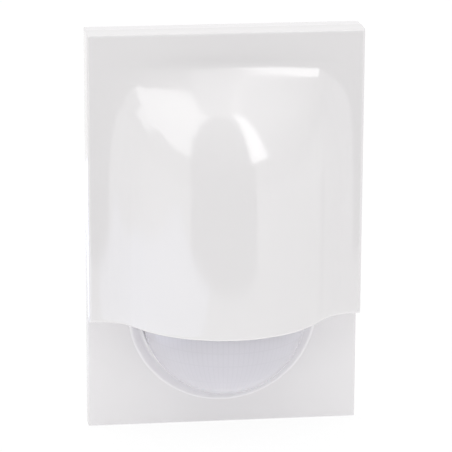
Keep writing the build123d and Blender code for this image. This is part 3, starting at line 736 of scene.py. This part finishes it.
@dataclass
class Hood:
    """Moulded shell with a flat surround and a bell-shaped bulge. Sizes are in millimetres."""

    half_width: float = 40.0
    top: float = 60.0
    low: float = -25.5
    back: float = 4.4
    wall: float = 2.0
    flange: float = 12.0
    front: float = 33.7
    side_run: float = 38.5
    side_crown: float = 31.5
    side_root: float = 13.3
    shoulder_top: float = 52.0
    shoulder_run: float = 37.0
    shoulder_crown: float = 34.0
    shoulder_root: float = 3.0
    edge_round: float = 0.8
    lower_round: float = 1.2
    columns: int = 160
    rows: int = 176
    round_steps: int = 5
    slope_step: float = 0.001
    offset_rounds: int = 60
    offset_pace: float = 0.6
    edge_reach: float = 0.0001
    crease: float = 40.0
    post_radius: float = 1.8
    post_tip: float = 3.8
    post_chamfer: float = 0.5
    post_sides: int = 32
    posts: tuple[Pair, ...] = ((-32.4, -17.6), (32.4, -17.6), (-17.0, 52.6), (17.0, 52.6))

    @staticmethod
    def fall(run: np.ndarray, length: float, drop: float, crown: float, root: float) -> np.ndarray:
        """Drop of an S curve: an arc, a straight slope and a second arc.

        Args:
            run: how far each point is from the crown.
            length: the curve's whole run.
            drop: the curve's whole drop.
            crown: the first arc's radius.
            root: the second arc's radius.

        Returns:
            The drop at each point.
        """
        both = crown + root
        turn = math.atan2(length, both - drop) - math.acos(min(both / math.hypot(both - drop, length), 1.0))
        left = length - run
        first = crown - np.sqrt(np.maximum(crown**2 - run**2, 0))
        last = drop - root + np.sqrt(np.maximum(root**2 - left**2, 0))
        slope = crown * (1 - math.cos(turn)) + (run - crown * math.sin(turn)) * math.tan(turn)
        bends = [run <= crown * math.sin(turn), left <= 0, left <= root * math.sin(turn)]
        return np.select(bends, [first, np.full_like(run, drop), last], slope)

    def skin(self, x: np.ndarray, y: np.ndarray) -> np.ndarray:
        """Depth of the outer face at places across and up the hood.

        Args:
            x: places to the right of the middle.
            y: their heights above the middle.

        Returns:
            The depth at each place.
        """
        bulge = self.front - self.flange
        across = 1 - self.fall(np.abs(x), self.side_run, bulge, self.side_crown, self.side_root) / bulge
        climb = np.maximum(y - (self.shoulder_top - self.shoulder_run), 0)
        drop = self.fall(climb, self.shoulder_run, bulge, self.shoulder_crown, self.shoulder_root)
        return self.flange + bulge * across * (1 - drop / bulge)

    def under(self, x: np.ndarray, y: np.ndarray) -> np.ndarray:
        """Depth of the inner face, a wall's thickness under the outer one.

        Args:
            x: places to the right of the middle.
            y: their heights above the middle.

        Returns:
            The depth at each place.
        """
        u, v, step = x.copy(), y.copy(), self.slope_step
        for _ in range(self.offset_rounds):
            slope_x = (self.skin(u + step, v) - self.skin(u - step, v)) / (2 * step)
            slope_y = (self.skin(u, v + step) - self.skin(u, v - step)) / (2 * step)
            steep = np.sqrt(1 + slope_x**2 + slope_y**2)
            u += self.offset_pace * (x - self.wall * slope_x / steep - u)
            v += self.offset_pace * (y - self.wall * slope_y / steep - v)
        return self.skin(u, v) - self.wall / steep

    def rounded(self, share: np.ndarray, low: float, high: float, count: int,
                first_round: float) -> tuple[np.ndarray, np.ndarray]:
        """Spread grid lines from edge to edge, with a round over each edge.

        Args:
            share: each line's place from 0 to 1.
            low: the lower edge.
            high: the upper edge.
            count: how many lines the grid has.
            first_round: the round's radius at the lower edge.

        Returns:
            Each line's place, and how far the round drops there.
        """
        ends = self.round_steps / count
        first = np.clip(1 - share / ends, 0, 1) * math.pi / 2
        last = np.clip(1 - (1 - share) / ends, 0, 1) * math.pi / 2
        middle = np.clip((share - ends) / (1 - 2 * ends), 0, 1)
        place = low + first_round + (high - low - first_round - self.edge_round) * middle
        place = place - first_round * np.sin(first) + self.edge_round * np.sin(last)
        return place, first_round * (1 - np.cos(first)) + self.edge_round * (1 - np.cos(last))

    def sheet(self, name: str) -> tuple[Piece, np.ndarray]:
        """Add a flat grid.

        Args:
            name: the grid's name.

        Returns:
            The grid, and each point's share of its width and height.
        """
        start_clean()
        bpy.ops.mesh.primitive_grid_add(x_subdivisions=self.columns, y_subdivisions=self.rows, size=1)
        piece = take(name)
        flat = np.empty(len(piece.data.vertices) * 3)
        piece.data.vertices.foreach_get("co", flat)
        return piece, flat.reshape(-1, 3)[:, :2] + 0.5

    @staticmethod
    def bend(piece: Piece, x: np.ndarray, depth: np.ndarray, y: np.ndarray) -> None:
        """Move a grid's points to their places."""
        piece.data.vertices.foreach_set("co", (np.stack([x, -depth, y], axis=1) * MM).ravel())
        piece.data.update()

    def drop_sides(self, piece: Piece) -> None:
        """Extrude a bent grid's side and top edges back to the plate.

        Args:
            piece: the grid.
        """
        edge = (self.low + self.edge_reach) * MM
        pick_open_edges(piece)
        bpy.ops.object.mode_set(mode="OBJECT")
        points = piece.data.vertices
        for line in piece.data.edges:
            if line.select and all(points[index].co.z < edge for index in line.vertices):
                line.select = False
        rim = {index for line in piece.data.edges if line.select for index in line.vertices}
        for point in points:
            point.select = point.index in rim
        work_on(piece, "EDGE", lambda: bpy.ops.mesh.extrude_region_move(
            TRANSFORM_OT_translate={"value": (0, 0, 0)}))
        for point in points:
            if point.select:
                point.co.y = -self.back * MM
        piece.data.update()

    def shell(self) -> Piece:
        """Outer and inner faces joined round their rim.

        Returns:
            The shell.
        """
        outer, share = self.sheet("hood_outer")
        x, drop_x = self.rounded(share[:, 0], -self.half_width, self.half_width, self.columns,
                                 self.edge_round)
        y, drop_y = self.rounded(share[:, 1], self.low, self.top, self.rows, self.lower_round)
        self.bend(outer, x, self.skin(x, y) - drop_x - drop_y, y)
        self.drop_sides(outer)
        inner, share = self.sheet("hood_inner")
        x = (share[:, 0] - 0.5) * 2 * (self.half_width - self.wall)
        y = self.low + share[:, 1] * (self.top - self.wall - self.low)
        self.bend(inner, x, self.under(x, y), y)
        self.drop_sides(inner)
        shell = join("front_hood_shell", [outer, inner])
        pick_open_edges(shell)
        bpy.ops.mesh.bridge_edge_loops()
        bpy.ops.mesh.select_mode(type="VERT")
        bpy.ops.object.mode_set(mode="OBJECT")
        return smooth(close_and_turn_out(shell, merge=0.0001), self.crease)

    def pegs(self) -> Piece:
        """The four posts with chamfered tips, up to the middle of the wall.

        Returns:
            The posts, joined.
        """
        parts = []
        radius, tip, chamfer = self.post_radius, self.post_tip, self.post_chamfer
        for x, y in self.posts:
            seat = float(self.under(np.array([x]), np.array([y]))[0]) + self.wall / 2
            outline = [(0, tip), (radius - chamfer, tip), (radius, tip + chamfer), (radius, seat), (0, seat)]
            parts.append(lathe("peg", outline, x, y, self.post_sides))
        return smooth(join("hood_posts", parts))

    def build(self, shop: Workshop) -> None:
        """Build the hood and deliver it."""
        shop.deliver(self.shell(), "hood", HOOD_WHITE, "hood_white", "front_hood")
        shop.deliver(self.pegs(), "hood", HOOD_WHITE, "hood_white", "front_hood")


# Lens


@dataclass
class Lens:
    """Milky half dome with segments inside, on a skirt and a flange. Sizes are in millimetres.

    The ring's outline is the radius and depth of each point: first its foot in the seat, then the
    lip over the seat's edge, the dish, and the bead against the dome.
    """

    height: float = -25.0
    radius: float = 24.0
    centre_depth: float = 7.0
    wall: float = 1.0
    flange_radius: float = 25.6
    flange_low: float = 2.0
    flange_high: float = 2.7
    foot_chamfer: float = 0.25
    turns: int = 192
    arc_steps: int = 40
    columns: int = 96
    rows: int = 30
    pillow_low: float = 0.6
    pillow_reach: float = 0.94
    groove_width: float = 0.14
    groove_depth: float = 0.12
    neck_half: float = 8.3
    neck_depth: float = 3.6
    neck_top: float = 4.5
    ring_cut_depth: float = 5.0
    dome_crease: float = 24.0
    ring_crease: float = 40.0
    ring_outline: tuple[Pair, ...] = (
        (24.4, 2.7), (25.7, 2.7), (25.7, 1.5), (27.65, 1.5), (27.65, 4.42), (27.98, 4.42),
        (28.04, 4.48), (27.98, 4.56), (27.7, 4.6), (27.4, 4.56), (27.0, 4.38),
        (25.6, 3.45), (25.2, 3.3), (24.95, 3.3), (24.8, 3.44), (24.55, 3.52),
        (24.25, 3.46), (24.08, 3.3), (24.08, 3.1), (24.4, 3.0))

    def shell(self) -> Piece:
        """Outer dome, flange and inner skirt, spun as one outline.

        Returns:
            The dome's outside.
        """
        inner = self.radius - self.wall
        low, high = self.flange_low, self.flange_high
        outline = [(inner, self.centre_depth), (inner, low), (self.flange_radius, low),
                   (self.flange_radius, high), (self.radius + self.foot_chamfer, high),
                   (self.radius, high + self.foot_chamfer), (self.radius, self.centre_depth)]
        for i in range(1, self.arc_steps + 1):
            angle = math.pi / 2 * i / self.arc_steps
            outline.append((self.radius * math.cos(angle), self.centre_depth + self.radius * math.sin(angle)))
        return lathe("lens_outer", outline, 0, self.height, self.turns)

    def inside(self) -> Piece:
        """Inner half sphere with one shallow pillow for each segment.

        Returns:
            The dome's inside.
        """
        start_clean()
        inner = self.radius - self.wall
        bpy.ops.mesh.primitive_uv_sphere_add(segments=self.columns, ring_count=self.rows, radius=inner * MM,
                                             location=at(0, self.centre_depth, self.height))
        piece = take("lens_inner")
        back = -self.centre_depth * MM
        front = back - self.pillow_low * MM
        reach = self.pillow_reach * inner * MM
        edit(piece, lambda: bpy.ops.mesh.bisect(plane_co=(0, back, 0), plane_no=(0, 1, 0), clear_outer=True))
        pick_faces(piece, lambda centre: centre.y < front and abs(centre.z - self.height * MM) < reach)
        work_on(piece, "FACE", lambda: bpy.ops.mesh.inset(
            thickness=self.groove_width * MM, depth=-self.groove_depth * MM, use_individual=True))
        return edit(piece, lambda: bpy.ops.mesh.flip_normals())

    def leave_room(self, piece: Piece, depth: float) -> None:
        """Cut room for the board's neck out of a piece, down to a depth."""
        cut_box(piece, (-self.neck_half, 0, self.height), (self.neck_half, depth, self.neck_top))

    def ring(self) -> Piece:
        """Dished ring that rises from the dome's foot to a thin lip over the seat's edge.

        Returns:
            The ring.
        """
        ring = lathe("lens_ring_shell", self.ring_outline, 0, self.height, self.turns, closed=True)
        self.leave_room(ring, self.ring_cut_depth)
        return smooth(ring, self.ring_crease)

    def build(self, shop: Workshop) -> None:
        """Build the dome and the ring, and deliver them.

        Args:
            shop: the workshop that finishes them.
        """
        shop.deliver(self.ring(), "base", RING_CLEAR, "ring_clear", "lens_ring")
        outer, inner = self.shell(), self.inside()
        dome = join("lens_dome_shell", [outer, inner])
        self.leave_room(dome, self.neck_depth)
        smooth(dome, self.dome_crease)
        shop.deliver(dome, "base", LENS_MILK, "lens_milk", "lens_dome")


# Board


@dataclass
class BoardArtwork:
    """Copper tracks, solder joints and printed outlines on the circuit board.

    Sizes are in millimetres. A route is the x and height of each of its corners, and a frame is its
    left, right, lower and upper edge.
    """

    face: float = 3.3
    sink: float = 0.02
    reach: float = 0.001
    bevel_share: float = 0.4
    track_width: float = 0.8
    track_rise: float = 0.06
    print_width: float = 0.25
    print_rise: float = 0.03
    tick_width: float = 0.3
    tick_radii: Pair = (5.6, 6.4)
    tick_angles: tuple[float, ...] = (-45.0, 45.0, 90.0, 135.0, 225.0)
    dial_places: tuple[float, ...] = (-23.5, -12.0, -0.5)
    dial_height: float = 11.5
    cone_sides: int = 16
    cone_crease: float = 60.0
    cone: tuple[Pair, ...] = ((1.0, 0.0), (0.95, 0.08), (0.62, 0.30), (0.46, 0.62), (0.0, 0.62))
    joints: tuple[Pair, ...] = tuple(
        (x, 28.6 + side * 3.6) for x in (8.6, 12.0, 15.4, 18.8) for side in (-1, 1))
    routes: tuple[tuple[Pair, ...], ...] = (
        ((-7.5, 34.0), (-7.5, 31.6), (-27.4, 31.6), (-27.4, 34.8)),
        ((0.0, 34.0), (0.0, 30.8), (4.2, 30.8), (4.2, 21.6)),
        ((7.5, 34.0), (7.5, 33.6), (14.5, 33.6), (14.5, 36.8)),
        ((-27.4, 23.0), (-27.4, 19.6), (-22.0, 19.6)),
        ((-13.0, 21.4), (-13.0, 18.4), (3.0, 18.4)),
        ((-23.5, 5.6), (3.2, 5.6), (3.2, 8.0)),
        ((27.6, 19.0), (27.6, 12.0), (25.4, 12.0)),
        ((31.6, 19.0), (31.6, 13.4)),
        ((21.0, 31.4), (25.4, 31.4), (25.4, 32.4)),
        ((8.6, 24.2), (18.8, 24.2)),
        ((-6.0, 5.0), (-6.0, -7.0), (-10.5, -11.5), (-10.5, -15.6)),
        ((-3.6, 5.0), (-3.6, -9.4), (-7.0, -12.8), (-7.0, -17.0)),
        ((3.6, 5.0), (3.6, -9.0), (7.0, -12.4), (7.0, -17.0)),
        ((6.0, 5.0), (6.0, -7.0), (10.5, -11.5), (10.5, -15.6)),
        ((-15.5, -33.0), (-8.0, -39.5), (-3.2, -39.5)),
        ((15.5, -33.0), (8.0, -39.5), (3.2, -39.5)),
    )
    frames: tuple[tuple[float, float, float, float], ...] = (
        (4.2, 24.8, 7.4, 24.2), (-22.6, -3.4, 21.7, 30.3), (-33.0, -22.3, 24.0, 33.2),
        (-25.6, -13.4, 34.2, 39.0), (24.0, 33.2, 19.6, 31.6))

    def run(self, points: Sequence[Pair], width: float, rise: float) -> list[Piece]:
        """Flat strip through points on the board's face, one low block a leg.

        Args:
            points: x and height of each corner.
            width: the strip's width.
            rise: how far it stands off the face.

        Returns:
            The legs.
        """
        legs = []
        front = -(self.face + rise - self.reach) * MM
        for (x0, y0), (x1, y1) in zip(points, points[1:]):
            start_clean()
            length = math.hypot(x1 - x0, y1 - y0) + width
            turn = math.atan2(y1 - y0, x1 - x0)
            bpy.ops.mesh.primitive_cube_add(
                size=1, location=at((x0 + x1) / 2, self.face + (rise - self.sink) / 2, (y0 + y1) / 2),
                rotation=(0, -turn, 0), scale=(length * MM, (rise + self.sink) * MM, width * MM))
            leg = take("leg")
            pick_edges(leg, lambda point: point.y < front)
            work_on(leg, "EDGE", lambda: bpy.ops.mesh.bevel(
                offset=self.bevel_share * rise * MM, segments=1, affect="EDGES"))
            legs.append(leg)
        return legs

    def tracks(self) -> Piece:
        """Copper tracks under the lacquer."""
        legs = [leg for route in self.routes for leg in self.run(route, self.track_width, self.track_rise)]
        return smooth(join("board_tracks", legs))

    def outlines(self) -> Piece:
        """Printed outlines round the parts, and ticks round the dials.

        Returns:
            The print, joined.
        """
        legs = []
        for x0, x1, y0, y1 in self.frames:
            corners = [(x0, y0), (x1, y0), (x1, y1), (x0, y1), (x0, y0)]
            legs += self.run(corners, self.print_width, self.print_rise)
        for x in self.dial_places:
            for angle in map(math.radians, self.tick_angles):
                ends = [(x + radius * math.cos(angle), self.dial_height + radius * math.sin(angle))
                        for radius in self.tick_radii]
                legs += self.run(ends, self.tick_width, self.print_rise)
        return smooth(join("board_print", legs))

    def solder(self) -> Piece:
        """Solder cones round the leads.

        Returns:
            The cones, joined.
        """
        pattern = lathe("joint", self.cone, 0, 0, self.cone_sides)
        places = [(x, self.face - self.sink / 2, y) for x, y in self.joints]
        return smooth(copies("solder_joints", pattern, places), self.cone_crease)

    def build(self, shop: Workshop) -> None:
        """Build the artwork and deliver it.

        Args:
            shop: the workshop that finishes it.
        """
        shop.deliver(self.tracks(), "base", TRACK_GREEN, "board_green")
        shop.deliver(self.outlines(), "base", PRINT_WHITE, "dial_white")
        shop.deliver(self.solder(), "base", SOLDER, "steel")


# Studio


def toward(turn: float, rise: float) -> Vector:
    """Unit vector out of the wall, turned to the right and raised, both in degrees."""
    turn, rise = math.radians(turn), math.radians(rise)
    return Vector((math.sin(turn) * math.cos(rise), -math.cos(turn) * math.cos(rise), math.sin(rise)))


def hide_from(piece: Piece, *rays: str) -> None:
    """Hide an object from some kinds of ray."""
    for ray in rays:
        setattr(piece, f"visible_{ray}", False)


@dataclass
class Camera:
    """The photograph's camera. Lengths are in millimetres and angles in degrees."""

    turn: float = 7.369
    rise: float = 16.093
    roll: float = 0.254
    distance: float = 842.6
    lens: float = 228.03
    sensor: float = 36.0
    nearest: float = 10.0
    target: Point = (1.49, 0.0, -0.71)

    def build(self) -> None:
        """Add the camera and make it the scene's."""
        roll = math.radians(self.roll)
        back = toward(-self.turn, self.rise)
        right = (-back).cross(Vector((0, 0, 1))).normalized()
        up = right.cross(-back)
        data = bpy.data.cameras.new("camera")
        data.sensor_width = self.sensor
        data.lens = self.lens
        data.clip_start = self.nearest * MM
        camera = bpy.data.objects.new("camera", data)
        bpy.context.scene.collection.objects.link(camera)
        matrix = camera.matrix_world.to_3x3()
        matrix.col[0] = right * math.cos(roll) + up * math.sin(roll)
        matrix.col[1] = up * math.cos(roll) - right * math.sin(roll)
        matrix.col[2] = back
        camera.matrix_world = matrix.to_4x4()
        camera.location = Vector(self.target) * MM + back * self.distance * MM
        bpy.context.scene.camera = camera


class Spread(Enum):
    """What a sheet lies on: a patch of sky, or a patch of floor."""

    SKY = "sky"
    FLOOR = "floor"


@dataclass
class Softbox:
    """A rectangular lamp for the matt part of each surface.

    Its turns and rises are in degrees, its distance in metres, and the place that it lights in millimetres.
    """

    name: str
    turns: Pair
    rises: Pair
    glow: float
    distance: float = 1.0
    aim: Point = (0.0, 20.0, 10.0)

    def build(self) -> None:
        """Add the lamp, with its power from the glow of its face."""
        turn, rise = sum(self.turns) / 2, sum(self.rises) / 2
        way = toward(turn, rise)
        width, height = (2 * self.distance * math.tan(math.radians(high - low) / 2)
                         for low, high in (self.turns, self.rises))
        data = bpy.data.lights.new(self.name, "AREA")
        data.shape = "RECTANGLE"
        data.size, data.size_y = width * math.cos(math.radians(rise)), height
        data.energy = self.glow * math.pi * data.size * data.size_y
        lamp = bpy.data.objects.new(self.name, data)
        bpy.context.scene.collection.objects.link(lamp)
        lamp.location = at(*self.aim) + way * self.distance
        lamp.rotation_euler = way.to_track_quat("Z", "Y").to_euler()
        hide_from(lamp, "camera", "transmission", "glossy")


@dataclass
class Sheet:
    """A bright or dark sheet that only gloss shows.

    In the sky its corners are turns and rises in degrees, on the floor they are X and Y in millimetres.
    The distance is in metres.
    """

    name: str
    spread: Spread
    corners: tuple[Pair, ...]
    glow: float
    tint: Colour = (1.0, 1.0, 1.0)
    distance: float = 3.0
    floor_level: float = -59.9

    def points(self) -> list[Vector]:
        """Work out where the corners are.

        Returns:
            The corners.
        """
        if self.spread is Spread.FLOOR:
            return [Vector((x, y, self.floor_level)) * MM for x, y in self.corners]
        return [toward(turn, rise) * self.distance for turn, rise in self.corners]

    def build(self) -> None:
        """Add the sheet."""
        start_clean()
        bpy.ops.mesh.primitive_circle_add(vertices=len(self.corners), radius=1, fill_type="NGON")
        piece = take(self.name)
        for vertex, point in zip(piece.data.vertices, self.points()):
            vertex.co = point
        graph = Graph(bpy.data.materials.new(self.name))
        glow = graph.add("ShaderNodeEmission", Color=(*self.tint, 1.0), Strength=self.glow)
        piece.data.materials.append(graph.end(glow))
        hide_from(piece, "camera", "diffuse", "transmission", "shadow")


@dataclass
class Studio:
    """Pale floor, soft lamps and a white surround. Lengths are in millimetres."""

    floor_level: float = -60.2
    floor_half: float = 3000.0
    floor_greys: Pair = (0.86, 0.88)
    floor_mottle: float = 8.0
    floor_glow: float = 1.02
    floor_bounce: float = 1.45
    bounce_share: float = 0.5
    shadow_share: float = 0.1
    ambient: float = 0.66
    zenith: float = 2.9
    zenith_power: float = 4.0
    lamps: tuple[Softbox, ...] = (
        Softbox("key_left", (-95.0, -40.0), (20.0, 75.0), 0.2),
        Softbox("front_fill", (-50.0, 50.0), (-5.0, 35.0), 0.12),
    )
    sheets: tuple[Sheet, ...] = (
        Sheet("window_left", Spread.SKY, (
            (-77, 8), (-70, 14), (-58, 25), (-53, 21), (-35, 23), (-27, 42), (-18, 61),
            (-5, 71), (-40, 72), (-77, 72)), 2.6, distance=2.4),
        Sheet("window_right", Spread.SKY, (
            (24, 22.5), (41, 22), (37.5, 31), (34.5, 44), (32.5, 58), (33, 66), (32.5, 73),
            (28, 74), (24.5, 70.5), (21.5, 58), (21.5, 42)), 4.4, distance=2.4),
        Sheet("dark_sky", Spread.SKY, ((-38, -1), (28, -1), (20, 70), (-30, 70)), 0.0),
        Sheet("dark_floor", Spread.FLOOR, ((-145, -185), (100, -185), (1500, -2900), (-2200, -2900)), 0.0),
        Sheet("table_left", Spread.FLOOR, ((-240, -185), (-60, -185), (-60, 300), (-240, 300)), 1.5,
              (0.92, 0.96, 1.12)),
        Sheet("table_right", Spread.FLOOR, ((-60, -185), (290, -185), (290, 300), (-60, 300)), 0.9),
    )

    def floor(self) -> None:
        """Pale floor that keeps a faint shadow."""
        start_clean()
        bpy.ops.mesh.primitive_plane_add(size=2 * self.floor_half * MM,
                                         location=(0, 0, self.floor_level * MM))
        piece = take("floor")
        graph = Graph(bpy.data.materials.new("floor_white"))
        noise = graph.add("ShaderNodeTexNoise", Vector=graph.place(), Scale=self.floor_mottle, Detail=3.0)
        colour = graph.mix(noise.outputs["Fac"], *((grey, grey, grey) for grey in self.floor_greys))
        surface = graph.add("ShaderNodeBsdfDiffuse", Color=colour)
        seen = graph.seen()
        strength = graph.ranged(seen, 0, 1, self.floor_bounce, self.floor_glow)
        share = graph.ranged(seen, 0, 1, self.bounce_share, 1 - self.shadow_share)
        glow = graph.add("ShaderNodeEmission", Color=(1, 1, 1, 1), Strength=strength)
        mixer = graph.add("ShaderNodeMixShader", Fac=share)
        graph.feed(mixer.inputs[1], surface.outputs[0])
        graph.feed(mixer.inputs[2], glow.outputs[0])
        piece.data.materials.append(graph.end(mixer))

    def surround(self) -> None:
        """White world for the eye and for gloss, and light that grows overhead for everything else."""
        world = bpy.data.worlds.new("surround")
        bpy.context.scene.world = world
        graph = Graph(world)
        seen = graph.seen()
        place = graph.add("ShaderNodeTexCoord")
        ways = graph.add("ShaderNodeSeparateXYZ", Vector=place.outputs["Generated"])
        overhead = graph.maths("POWER", ways.outputs["Z"], self.zenith_power)
        overhead.node.use_clamp = True
        sky = graph.ranged(overhead, 0, 1, self.ambient, self.zenith)
        glow = graph.add("ShaderNodeBackground", Strength=graph.ranged(seen, 0, 1, sky, 1.0))
        graph.end(glow, "ShaderNodeOutputWorld")

    def build(self) -> None:
        """Set up the camera, the lamps, the floor and the view."""
        bpy.context.scene.view_settings.view_transform = "Standard"
        Camera().build()
        for light in (*self.lamps, *self.sheets):
            light.build()
        self.floor()
        self.surround()


def main() -> None:
    """Build the object's pieces in order."""
    Studio().build()
    shop = Workshop()
    for name, finish in NODE_FINISHES.items():
        shop.dress(name, finish)
    Hood().build(shop)
    Lens().build(shop)
    BoardArtwork().build(shop)
    start_clean()


if __name__ == "__main__":
    main()
